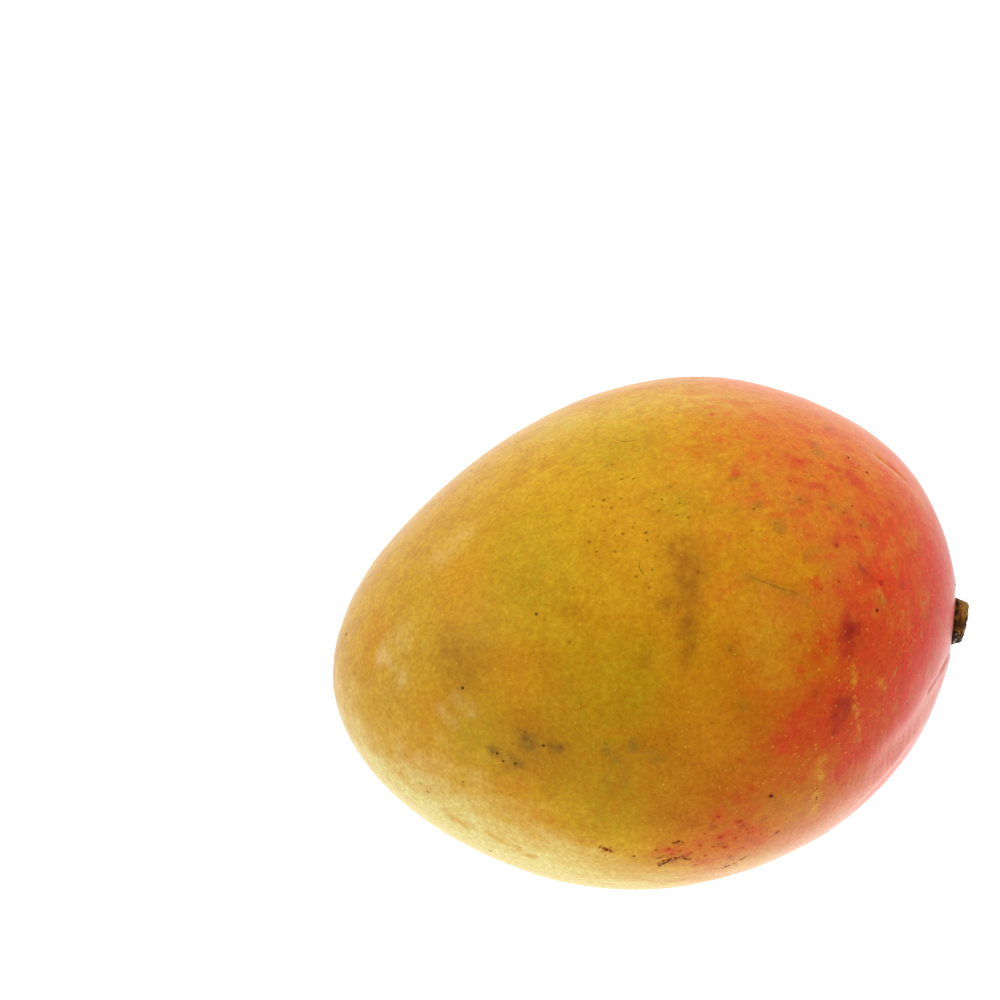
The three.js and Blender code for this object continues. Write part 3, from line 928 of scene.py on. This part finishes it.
def strewn_along(rows, radii, shades, seed):
    """Marks strewn along rows, each given as how far in mm, how many and its path."""
    chance = random.Random(seed)
    marks = []
    for strewn, how_many, places in rows:
        for number in range(how_many):
            share = number / (how_many - 1) * (len(places) - 1)
            stretch = min(int(share), len(places) - 2)
            start, end = places[stretch], places[stretch + 1]
            along, around = [a + (b - a) * (share - stretch) for a, b in zip(start, end)]
            marks.append((along + chance.gauss(0, strewn),
                          around + chance.gauss(0, strewn) * DEGREES_PER_MM,
                          chance.uniform(*radii), chance.uniform(*shades)))
    return marks


pores = strewn_along(PORE_ROWS, radii=(0.14, 0.45), shades=(0.15, 0.55), seed=23)
pale_pores = grow("pale_pores", dome_tree, {
    "Sides": 9, "Height": 0.12, "Material": lenticel_material},
    base=points_on_skin("pores", pores, "paleness"))
dress(pale_pores)

# %% [markdown]
# ## Dark dots
#
# Some pores have died and healed over black or brown. They gather in one loose cluster on the upper cheek,
# and the rest are scattered. Each that can be told apart is placed one by one. The finest are sprinkled
# about a place at random, from a fixed seed.

# %% Where the dots are
CLUSTER = [   # faded dots: along mm, around degrees
    (-7, 100), (-6, 106), (-4, 107), (-12, 110), (-7, 112), (-16, 111), (-11, 120), (-6, 121),
    (-4, 123), (-4, 125), (-1, 113), (2, 112), (2, 120), (7, 120), (16, 121), (-13, 125), (-7, 133),
    (-12, 112), (-10, 111), (-9, 114), (-13, 116), (-9, 118), (-1, 118), (4, 121), (-14, 122),
    (-3, 129), (-8, 122), (-5, 136), (-18, 133), (-20, 146), (-6, 146), (4, 134), (13, 130),
]
STANDING_OUT = [   # black or brown dots: along mm, around degrees, radius mm
    (-25, 138, 0.30), (-39, 157, 0.34), (15, 187, 0.52), (37, 146, 0.38), (40, 108, 0.32),
    (24, 114, 0.29), (-57, 80, 0.40), (-40, 188, 0.26), (-32, 187, 0.26), (-29, 168, 0.28),
    (-26, 171, 0.30), (-23, 171, 0.26), (-31, 177, 0.32), (-10, 126, 0.28), (-4, 132, 0.28),
    (8, 151, 0.28), (33, 122, 0.28), (25, 119, 0.28), (36, 125, 0.28), (0, 115, 0.26),
    (37, 104, 0.30), (35, 120, 0.26), (3, 117, 0.26), (20, 60, 0.34), (-12, 40, 0.34),
    (10, 20, 0.34), (-30, 60, 0.3), (35, 30, 0.34), (0, 260, 0.34), (-25, 330, 0.34),
]
SCABS = [   # crusts of several dots: along mm, around degrees, radius mm
    (-15, 200, 0.7), (-14.2, 200.6, 0.4), (-2, 197, 0.6), (-1.2, 197.4, 0.4), (-5, 206, 0.5),
    (-3.2, 203.6, 0.6), (-2.2, 203.2, 0.5), (-0.5, 203.6, 0.5), (0.6, 204.2, 0.4), (-4, 205, 0.5),
    (8, 211, 0.5), (11, 209, 0.5), (17, 201, 0.4), (-10, 202, 0.4), (-34, 175, 0.4), (-33, 177, 0.4),
]
CRUSTS = [   # rows of dots that ran together: how strewn in mm, how many, then the path
    (0.20, 18, [(-5.4, 205.6), (-4.6, 204.6), (-3.6, 204.0)]),
    (0.22, 26, [(-3.4, 203.6), (-1.9, 203.2), (-0.5, 203.6), (0.6, 204.5)]),
    (0.22, 18, [(-16.2, 199.3), (-15.1, 199.6), (-14.2, 200.2)]),
    (0.20, 9, [(-2.8, 197.4), (-1.7, 197.8)]),
    (0.22, 9, [(7.3, 211.9), (8.6, 211.4), (9.6, 210.6)]),
    (0.18, 6, [(10.7, 208.8), (11.7, 208.2)]),
    (0.10, 9, [(24.3, 187), (24.1, 190)]),
    (0.08, 5, [(24.3, 192), (24.4, 194)]),
]
RED_DOTS = [   # along mm, around degrees, radius mm
    (5.1, 190.3, 0.6), (9.3, 193.1, 0.8), (5.8, 197.3, 0.8), (7.0, 201.2, 0.9), (-3.7, 199.6, 0.6),
    (-6.0, 199.6, 0.5), (4.7, 200.4, 0.5), (1.8, 207.2, 0.5), (2.2, 199.2, 0.5), (17.3, 200.7, 0.6),
    (-1.5, 200.6, 0.6), (0.5, 202.0, 0.4), (3.4, 203.4, 0.5), (8.8, 198.6, 0.5), (12.0, 196.0, 0.4),
    (-4.6, 202.0, 0.5), (10.6, 203.4, 0.4), (13.8, 199.4, 0.4), (2.8, 195.2, 0.4), (30.4, 130.2, 0.6),
    (34.6, 128.2, 0.5), (38.4, 139.4, 0.7), (29.8, 138.6, 0.5), (26.2, 140.0, 0.4),
]
SPRINKLED = [   # many small dots about one place: along, around, spread mm, how many, darkness
    (7, 195, 5.0, 34, 0.62), (-2, 203, 1.5, 18, 1.0), (-15, 200, 0.6, 8, 1.0), (9, 209, 2.2, 12, 0.9),
    (-33, 175, 1.0, 14, 0.55), (-29, 169.5, 0.9, 14, 0.55), (-24, 171, 0.8, 10, 0.5),
    (-15, 171, 1.1, 10, 0.4), (-9, 171, 1.2, 10, 0.4), (-39, 157, 0.6, 4, 0.4), (-38, 131, 1.0, 5, 0.6),
    (33, 110, 5.0, 22, 0.55), (22, 119, 5.0, 18, 0.6), (31, 152, 2.2, 12, 0.7),
    (29, 169, 2.2, 12, 0.6), (-12, 116, 7.0, 26, 0.55), (-30, 150, 12.0, 22, 0.5),
    (10, 168, 12.0, 26, 0.5), (-5, 190, 9.0, 18, 0.5),
]
chance = random.Random(11)
HALO_SHARE = 1.4        # a dot with its soft rim, against its dark middle
LEAST_BLACK = 0.29      # mm: dots above it are black in the middle, and the others brown
dots = [(along, around, radius * HALO_SHARE, 1.0 if radius > LEAST_BLACK else 0.75)
        for along, around, radius in STANDING_OUT]
dots += [(along, around, radius, 0.95) for along, around, radius in SCABS]
dots += strewn_along(CRUSTS, radii=(0.14, 0.42), shades=(0.85, 1.0), seed=31)
dots += [(along, around, radius, 0.72) for along, around, radius in RED_DOTS]
for along, around in CLUSTER:
    dots.append((along, around, chance.uniform(0.32, 0.50), chance.uniform(0.45, 0.85)))
for along, around, spread, how_many, darkest in SPRINKLED:
    for _ in range(how_many):
        beside = chance.gauss(0, spread) * DEGREES_PER_MM
        dots.append((along + chance.gauss(0, spread), around + beside,
                     chance.uniform(0.12, 0.38), darkest * chance.uniform(0.6, 1.0)))
print("dark dots:", len(dots))

# %% Their material: a dark middle that fades out into the skin
DOT_BROWN = (0.20, 0.075, 0.006, 1)
DOT_RED = (0.38, 0.024, 0.012, 1)
DOT_BLACK = (0.026, 0.009, 0.002, 1)
dot_material, t, shader = new_material("dead_pore")
painted = add_node(t, "ShaderNodeGroup", node_tree=skin_colour)
core = stored(t, "core")
darkness = stored(t, "darkness")
low = ramp(t, split(t, place_in_mm(t))[2], 0, -8)
redness = ramp(t, Value(t, painted.outputs["Blush"]), 0.30, 0.48).math("MAXIMUM", low)
faded = mix(t, redness, DOT_BROWN, DOT_RED)
colour = mix(t, ramp(t, core, 0.0, 0.8) * darkness, painted.outputs["Colour"], faded)
colour = mix(t, ramp(t, core, 0.3, 0.7) * ramp(t, darkness, 0.8, 1.0), colour, DOT_BLACK)
waxy_skin(t, shader, colour)
plug(t, shader, {"Specular IOR Level": 0.05, "Sheen Weight": 0.0})

dark_dots = grow("dark_dots", dome_tree, {
    "Sides": 12, "Height": 0.10, "Material": dot_material},
    base=points_on_skin("dots", dots, "darkness"))
dress(dark_dots)

# %% [markdown]
# ## Scars that run as lines
#
# A branch that rubs, a claw or a drop of sap leaves a thin line that heals as cork, pale or brown.
# Each is drawn as a path on the skin. A second tree follows every path with a fine tube, half sunk,
# that thins out at both ends.

# %% A tree that follows paths with a tapering tube
line_tree, given = new_tree("lines_on_paths", {
    "Geometry": (GEOMETRY, None),
    "Radius": (FLOAT, 0.16 * MM),
    "Sides": (INT, 6),
    "Material": (MATERIAL, None),
})
t = line_tree
path = add_node(t, "GeometryNodeMeshToCurve", {"Mesh": given["Geometry"]}).outputs["Curve"]
share = add_node(t, "GeometryNodeSplineParameter").outputs["Factor"]
taper = ((Value(t, share) * math.pi).math("SINE") + 0.02) ** 0.5
width = Value(t, given["Radius"]) * read(t, "width", "FLOAT") * taper
sides = add_node(t, "GeometryNodeCurvePrimitiveCircle", {
    "Resolution": given["Sides"], "Radius": 1.0}).outputs["Curve"]
tube = add_node(t, "GeometryNodeCurveToMesh", {
    "Curve": path, "Profile Curve": sides, "Scale": width, "Fill Caps": True})
end_tree(t, tube.outputs["Mesh"], given["Material"])

# %% The scars
CORK, BROWN, BLACK = 0.0, 0.5, 1.0
SCARS = [   # tone, width, then the path as places on the skin
    (CORK, 0.9, [(40.8, 161.8), (40.4, 163.2), (39.9, 165)]),
    (BROWN, 0.35, [(-4.9, 90.6), (-3.5, 93), (-1.4, 93.5)]),
    (CORK, 0.5, [(26, 196), (25.5, 200), (26, 203)]),
    (CORK, 0.5, [(-20, 300), (-10, 303), (4, 301)]),
    (BROWN, 0.35, [(13, 136.1), (15, 137.3), (18, 139), (20, 139.8), (22, 141)]),
    (BROWN, 0.5, [(-6, 129), (-6.2, 131), (-5.5, 133.5)]),
    (BROWN, 0.9, [(-46.1, 200.1), (-45.7, 200.8)]),
    (BROWN, 0.7, [(-35.2, 216.8), (-34.5, 217.5)]),
    (CORK, 0.9, [(-47.4, 198), (-46.8, 199)]),
    (BROWN, 0.6, [(24, 30), (28, 33), (30, 39)]),
    (BLACK, 0.9, [(-5, 206), (-3.6, 204.6), (-3, 203)]),
    (BLACK, 0.6, [(-6, 203), (-4.5, 202.4)]),
]


def lines_on_skin(name, lines):
    """A mesh of paths on the skin, each with its width and its tone."""
    points, edges, widths, tones = [], [], [], []
    for tone, width, places in lines:
        path = path_on_skin(places, steps=5)
        edges += [(len(points) + step, len(points) + step + 1) for step in range(len(path) - 1)]
        points += path
        widths += [width] * len(path)
        tones += [tone] * len(path)
    mesh = bpy.data.meshes.new(name)
    mesh.from_pydata(points, edges, [])
    keep(mesh, "width", "FLOAT", widths)
    keep(mesh, "tone", "FLOAT", tones)
    give_stains(mesh, points)
    return mesh


# %% Their cork, from pale to black
CORK_PALE = (0.62, 0.42, 0.12)
CORK_BROWN = (0.24, 0.14, 0.012)
CORK_BLACK = (0.02, 0.010, 0.004)
scar_material, t, shader = new_material("cork")
tone = stored(t, "tone")
mottled = tone + (smooth_noise(t, place_in_mm(t), 0.6, 2) - 0.5) * 0.5
colour = colour_ramp(t, mottled, [(0.0, CORK_PALE), (0.5, CORK_BROWN), (0.9, CORK_BLACK)])
painted = add_node(t, "ShaderNodeGroup", node_tree=skin_colour)
colour = mix(t, mottled * 0.2 + 0.7, painted.outputs["Colour"], colour)
waxy_skin(t, shader, colour)

scar_lines = grow("scar_lines", line_tree, {"Material": scar_material},
                  base=lines_on_skin("scar_paths", SCARS))
dress(scar_lines)

# %% [markdown]
# ## The stub of the stem
#
# The stem broke off close to the fruit, and left a woody button as wide as a pencil. Its bark is fluted and
# grained, and its broken end is ragged: a rim of bark round a moat, and in it, off the middle, a knob of
# dried black sap. It is one of a kind, so its rings are laid one by one and its roughness comes from noise.

# %% The stub's own directions: out along the stem, to its upper side, and across
FOOT = MIDDLE + SEAT - STEM_AXIS * 2.35 * MM
UPPER = (Vector((0, 0, 1)) - STEM_AXIS * STEM_AXIS.z).normalized()
ACROSS = UPPER.cross(STEM_AXIS)
STUB_RADIUS = 4.75
STUB_HEIGHT = 4.65
STUB_SLANT = 0.15
STUB_FLUTES = 5
STUB_FLUTE_DEPTH = 0.03
STUB_OUTLINE = [   # out from the axis and up from the foot, as shares of the radius and height
    (0, 0), (0.5, 0), (0.95, 0), (1.0, 0.08), (1.0, 0.34), (0.97, 0.52), (0.88, 0.74),
    (0.81, 0.89), (0.70, 0.98), (0.60, 0.97), (0.48, 0.93), (0.26, 0.91), (0, 0.90),
]
STUB_RINGS, STUB_AROUND = 76, 132
KNOB_UP, KNOB_ACROSS = -0.7, -0.5       # the knob's middle, mm
KNOB_RADIUS, KNOB_HEIGHT = 2.2, 0.55
MOAT_DEPTH = 0.25
BARK_FROM, BARK_BAND = 0.55, 0.2        # shares of the radius where the bark's roughness sets in
END_FROM, END_BAND = 0.72, 0.1          # and where, further in, the broken end does


def stub_point(out, up, turn):
    """A point of the stub in mm: to the upper side, out along the stem, and across."""
    flute = 1 - STUB_FLUTE_DEPTH * (0.5 - 0.5 * math.cos(STUB_FLUTES * turn))
    spoke = Vector((math.cos(turn), math.sin(turn), 0))
    bark = noise.noise(Vector((spoke.x * 6, spoke.y * 6, up * 0.5)))
    crumbs = noise.noise(Vector((spoke.x * out * 1.6, spoke.y * out * 1.6, up * 1.6 + 9)))
    wall = min(1, max(0, (out / STUB_RADIUS - BARK_FROM) / BARK_BAND)) * min(1, up)
    reach = out * flute + (bark * 0.13 + crumbs * 0.08 - 0.05) * wall
    x, z = spoke.x * reach, spoke.y * reach
    lift = STUB_SLANT * x * (up / STUB_HEIGHT) ** 2
    if up > STUB_HEIGHT / 2:
        gap = math.hypot(x - KNOB_UP, z - KNOB_ACROSS) / KNOB_RADIUS
        knob = KNOB_HEIGHT * math.exp(-gap ** 4) * (1 + 0.5 * crumbs)
        end = min(1, max(0, (END_FROM - out / STUB_RADIUS) / END_BAND))
        rough = crumbs * 0.15 + bark * 0.12 * (1 - end)
        lift += (knob - MOAT_DEPTH) * end + rough * up / STUB_HEIGHT
    return x, up + lift, z


# %% Laying the stub's rings
def walk(outline, share):
    """The place at a share of the way along an outline."""
    lengths = [math.dist(a, b) for a, b in zip(outline, outline[1:])]
    left = share * sum(lengths)
    for (start, end), length in zip(zip(outline, outline[1:]), lengths):
        if left <= length:
            break
        left -= length
    part = min(1, left / length)
    return [a + (b - a) * part for a, b in zip(start, end)]


def placed_on_stem(x, up, z):
    return FOOT + (UPPER * x + STEM_AXIS * up + ACROSS * z) * MM


stub_points = [placed_on_stem(0, 0, 0)]
for ring in range(1, STUB_RINGS):
    out, up = walk(STUB_OUTLINE, ring / STUB_RINGS)
    for step in range(STUB_AROUND):
        turn = 2 * math.pi * step / STUB_AROUND
        stub_points.append(placed_on_stem(*stub_point(out * STUB_RADIUS, up * STUB_HEIGHT, turn)))
stub_points.append(placed_on_stem(*stub_point(0, STUB_OUTLINE[-1][1] * STUB_HEIGHT, 0)))

stub_faces = []
for step in range(STUB_AROUND):
    after = (step + 1) % STUB_AROUND
    stub_faces.append((0, 1 + step, 1 + after))
    for ring in range(STUB_RINGS - 2):
        low, high = 1 + ring * STUB_AROUND, 1 + (ring + 1) * STUB_AROUND
        stub_faces.append((low + step, high + step, high + after, low + after))
    last = 1 + (STUB_RINGS - 2) * STUB_AROUND
    stub_faces.append((last + step, len(stub_points) - 1, last + after))
stub_mesh = bpy.data.meshes.new("stem_button")
stub_mesh.from_pydata(stub_points, [], stub_faces)
stub_mesh.shade_smooth()
stem_button = new_object("stem_button", stub_mesh)
stub_volume = sum(
    face.area * face.normal.dot(Vector(face.center) - FOOT) for face in stub_mesh.polygons) / 3
print("stub volume, cubic mm:", round(stub_volume / MM ** 3))

# %% Its bark, its broken end and its knob of sap
BARK_DARK = (0.012, 0.005, 0.001)
BARK_BROWN = (0.090, 0.029, 0.003)
BARK_AMBER = (0.26, 0.105, 0.008)
BARK_TAN = (0.30, 0.18, 0.055)
BARK_FLAKE = (0.62, 0.50, 0.30, 1)
END_OLIVE = (0.24, 0.18, 0.022, 1)
END_RUST = (0.14, 0.042, 0.007, 1)
SAP_BLACK = (0.010, 0.008, 0.006, 1)

bark_material, t, shader = new_material("stem_bark")
p = place_in_mm(t)
from_foot = vector_math(t, "SUBTRACT", p, tuple((FOOT - MIDDLE) / MM))
up_stem = vector_math(t, "DOT_PRODUCT", from_foot, tuple(STEM_AXIS))
to_upper = vector_math(t, "DOT_PRODUCT", from_foot, tuple(UPPER))
to_side = vector_math(t, "DOT_PRODUCT", from_foot, tuple(ACROSS))
turned = join(t, to_upper * 0.45, to_side * 0.45, up_stem)
grain = smooth_noise(t, turned, 0.6, 4, 0.65)
patches = smooth_noise(t, from_foot, 1.8, 2)
# The tone is darker towards the foot. It rises towards the upper side and is lighter still at the top of
# the end, a painted highlight, and it is darker on the lower side, painted shade.
tone = grain * 1.0 + patches * 0.8 + (up_stem - 3.4) * 0.10 + to_upper * 0.045 - 0.57
tone = tone + ramp(t, to_upper, 2.2, 4.2) * ramp(t, up_stem, 2.8, 4.4) * 0.25
tone = tone - ramp(t, to_upper, -2.0, -4.0) * ramp(t, up_stem, 2.6, 4.0) * 0.22
bark = colour_ramp(t, tone, [
    (0.25, BARK_DARK), (0.45, BARK_BROWN), (0.68, BARK_AMBER), (0.95, BARK_TAN)])
out_stem = (to_upper * to_upper + to_side * to_side) ** 0.5
ragged = (grain - 0.5) * 1.6 + (patches - 0.5) * 1.2
near_end = ramp(t, up_stem, 3.0, 3.6)
on_end = ramp(t, out_stem + ragged, 3.6, 2.9) * near_end
wood = mix(t, ramp(t, to_side + ragged * 2, 0.2, 1.8), END_RUST, END_OLIVE)
wood = scaled(t, wood, (grain * 3.2 - 0.75).math("MAXIMUM", 0.08))
flakes = soft_spots(t, from_foot, 0.7, 0.40) * ramp(t, to_upper, 1.5, -1.0)
bark = mix(t, flakes * 0.8, bark, BARK_FLAKE)
colour = mix(t, on_end, bark, wood)
from_knob = ((to_upper - KNOB_UP) * (to_upper - KNOB_UP)
             + (to_side - KNOB_ACROSS) * (to_side - KNOB_ACROSS)) ** 0.5
knob = ramp(t, from_knob + ragged, 2.6, 2.1) * near_end
colour = mix(t, knob, colour, SAP_BLACK)
roughness = knob * -0.45 + 0.75
ridges = grain * 0.12 + smooth_noise(t, from_foot, 0.35, 2) * 0.10
bump = add_node(t, "ShaderNodeBump", {"Height": ridges, "Distance": MM})
plug(t, shader, {
    "Base Color": colour, "Roughness": roughness, "Normal": bump.outputs[0],
    "Specular IOR Level": 0.12})
stub_mesh.materials.append(bark_material)
dress(stem_button, "stem_stub")

# %% [markdown]
# ## Torn fibres and crumbs of sap
#
# The break tore some pale fibres loose, and sap that ran out dried to black crumbs in the cavity.
# The fibres are very thin, tall domes, so the tree of the dots makes them too. The crumbs are
# scattered round the stub by a tree of their own, closest where the sap ran.

# %% The fibres
FIBRES = 70
chance = random.Random(5)
fibre_points, fibre_ups = [], []
for fibre in range(FIBRES):
    turn = chance.uniform(0, 2 * math.pi) if fibre % 4 == 0 else chance.gauss(-1.15, 0.5)
    out = chance.uniform(0.40, 0.74) * STUB_RADIUS
    x, z = math.cos(turn) * out, math.sin(turn) * out
    fibre_points.append(placed_on_stem(x, STUB_HEIGHT * 0.86 + STUB_SLANT * x, z))
    lean = UPPER * (x * 0.09 + chance.gauss(0, 0.4)) + ACROSS * (z * 0.09 + chance.gauss(0, 0.4))
    fibre_ups.append((STEM_AXIS + lean).normalized())
fibre_base = bpy.data.meshes.new("fibres")
fibre_base.from_pydata(fibre_points, [], [])
keep(fibre_base, "size", "FLOAT", [chance.uniform(0.05, 0.13) * MM for _ in range(FIBRES)])
keep(fibre_base, "upright", "FLOAT_VECTOR", fibre_ups)
fibre_material, t, shader = new_material("torn_fibre")
pale = smooth_noise(t, place_in_mm(t), 0.5, 1)
FIBRE_STRAW, FIBRE_WHITE = (0.60, 0.50, 0.34, 1), (0.90, 0.88, 0.80, 1)
colour = mix(t, pale, FIBRE_STRAW, FIBRE_WHITE)
plug(t, shader, {"Base Color": colour, "Roughness": 0.8})
stem_fibres = grow("stem_fibres", dome_tree, {
    "Sides": 5, "Height": 10.0, "Material": fibre_material}, base=fibre_base)
dress(stem_fibres)

# %% The crumbs
crumb_tree, given = new_tree("sap_crumbs", {
    "Geometry": (GEOMETRY, None),
    "Density": (FLOAT, 2600000.0),
    "Size": (FLOAT, 0.22 * MM),
    "Reach": (FLOAT, 6.6 * MM),
    "Seed": (INT, 4),
    "Material": (MATERIAL, None),
})
t = crumb_tree
here = position(t)
CRUMB_START, CRUMB_FADE = 4.8, 4.5      # mm from the stem's axis, and on from there
gap = vector_math(t, "DISTANCE", here, seat_place)
ran = vector_math(t, "DOT_PRODUCT", vector_math(t, "SUBTRACT", here, seat_place), tuple(ACROSS))
reach = Value(t, given["Reach"]) + ran * 0.35
near = gap.math("GREATER_THAN", CRUMB_START * MM) * gap.math("LESS_THAN", reach)
thinning = opposite((gap / MM - CRUMB_START) / CRUMB_FADE).math("MAXIMUM", 0.06)
scattered = add_node(t, "GeometryNodeDistributePointsOnFaces", {
    "Mesh": given["Geometry"], "Selection": near, "Density": thinning * Value(t, given["Density"]),
    "Seed": given["Seed"]}, distribute_method="RANDOM")
crumb = add_node(t, "GeometryNodeMeshIcoSphere", {"Radius": 1.0, "Subdivisions": 1})
spin = add_node(t, "FunctionNodeRandomValue", {
    0: (0, 0, 0), 1: (6.3, 6.3, 6.3), "Seed": given["Seed"]}, data_type="FLOAT_VECTOR")
squash = add_node(t, "FunctionNodeRandomValue", {
    0: (0.3, 0.3, 0.2), 1: (1.5, 1.2, 0.8), "Seed": given["Seed"]}, data_type="FLOAT_VECTOR")
placed = add_node(t, "GeometryNodeInstanceOnPoints", {
    "Points": scattered.outputs["Points"], "Instance": crumb.outputs["Mesh"],
    "Rotation": spin.outputs[0], "Scale": scaled(t, squash.outputs[0], given["Size"])})
whole = add_node(t, "GeometryNodeRealizeInstances", {"Geometry": placed.outputs[0]}).outputs[0]
for not_theirs in ("OFBake", "stains"):
    whole = add_node(t, "GeometryNodeRemoveAttribute", {
        "Geometry": whole, "Name": not_theirs}).outputs["Geometry"]
end_tree(t, whole, given["Material"])

crumb_material, t, shader = new_material("dried_sap")
CRUMB_BLACK, CRUMB_BROWN = (0.008, 0.006, 0.004, 1), (0.07, 0.022, 0.006, 1)
tint = smooth_noise(t, place_in_mm(t), 0.7, 1)
colour = mix(t, ramp(t, tint, 0.45, 0.7), CRUMB_BLACK, CRUMB_BROWN)
plug(t, shader, {"Base Color": colour, "Roughness": 0.5, "Specular IOR Level": 0.15})
sap_crumbs = grow("sap_crumbs", crumb_tree, {"Material": crumb_material}, base=skin.data)
dress(sap_crumbs)

# %% [markdown]
# ## Camera, floor and light
#
# The fruit is seen from its side and from about 34 degrees above, through a long lens, which keeps
# its shape nearly free of perspective. It is framed by an aim to the left of it and above it.

# %% The camera
CAMERA_AROUND = math.radians(-10.5)
CAMERA_ABOVE = math.radians(34)
CAMERA_DISTANCE = 0.700
LENS = 130.6
AIM_LEFT, AIM_UP = 27.4 * MM, 25.6 * MM
back = Vector((
    math.sin(CAMERA_AROUND) * math.cos(CAMERA_ABOVE),
    -math.cos(CAMERA_AROUND) * math.cos(CAMERA_ABOVE),
    math.sin(CAMERA_ABOVE),
))
right = Vector((math.cos(CAMERA_AROUND), math.sin(CAMERA_AROUND), 0))
up = back.cross(right)
aim = MIDDLE - right * AIM_LEFT + up * AIM_UP
camera = new_object("camera", bpy.data.cameras.new("camera"))
camera.data.lens = LENS
camera.location = MIDDLE + back * CAMERA_DISTANCE
turn = (-back).rotation_difference(aim - camera.location)
level_view = Matrix((right, up, back)).transposed()
camera.rotation_euler = (turn.to_matrix() @ level_view).to_euler()
bpy.context.scene.camera = camera

# %% [markdown]
# In a product studio the fruit lies on a lit white sheet with no edge in sight. The sheet here
# glows, so it stays plain white under the fruit. It is brighter under the stem half, but only for
# rays that the waxy skin mirrors, so that the low rim there turns pale and the sheet stays even.

# %% The floor
FLOOR_HALF = 4.0
floor_mesh = bpy.data.meshes.new("floor")
floor_mesh.from_pydata(
    [(x * FLOOR_HALF, y * FLOOR_HALF, 0) for x, y in ((-1, -1), (1, -1), (1, 1), (-1, 1))],
    [], [(0, 1, 2, 3)])
floor = new_object("floor", floor_mesh)
floor_material, t, shader = new_material("white_floor")
WHITE = (1, 1, 1, 1)
FLOOR_GREY = (0.2, 0.2, 0.2, 1)
GLOW, POOL_GLOW = 1.15, 0.9
POOL_MIDDLE = (60 * MM, -10 * MM, 0)
POOL_EDGE, POOL_CORE = 130 * MM, 70 * MM
mirrored = Value(t, add_node(t, "ShaderNodeLightPath").outputs["Is Glossy Ray"])
floor_place = add_node(t, "ShaderNodeTexCoord").outputs["Object"]
from_pool = vector_math(t, "DISTANCE", floor_place, POOL_MIDDLE)
under_stem_half = ramp(t, split(t, floor_place)[0], -10 * MM, 35 * MM)
pool = ramp(t, from_pool, POOL_EDGE, POOL_CORE) * under_stem_half
plug(t, shader, {
    "Base Color": FLOOR_GREY, "Roughness": 0.9, "Emission Color": WHITE,
    "Emission Strength": mirrored * pool * POOL_GLOW + GLOW})
floor.data.materials.append(floor_material)

# %% [markdown]
# The light is a soft one: a large lamp overhead, a glow behind the fruit, and a dim room on the
# camera's side, which keeps the near cheek deep in colour.

# %% The light
world = bpy.data.worlds.new("studio")
bpy.context.scene.world = world
world.use_nodes = True
t = world.node_tree
way = add_node(t, "ShaderNodeTexCoord").outputs["Generated"]
dark_side = vector_math(t, "DOT_PRODUCT", way, tuple(Vector((back.x, back.y, 0)).normalized()))
height = split(t, way)[2]
DIM, BRIGHT, TOP_LIGHT, BACK_LIGHT = 0.1, 0.68, 2.0, 0.6
around_light = ramp(t, dark_side, -0.3, 0.6) * (DIM - BRIGHT) + BRIGHT
back_light = ramp(t, dark_side, -0.55, -0.9) * ramp(t, height, 0.75, 0.2) * BACK_LIGHT
strength = around_light + ramp(t, height, 0.6, 1.0) * TOP_LIGHT + back_light
plug(t, t.nodes["Background"], {"Color": WHITE, "Strength": strength})
bpy.context.scene.view_settings.view_transform = "Standard"
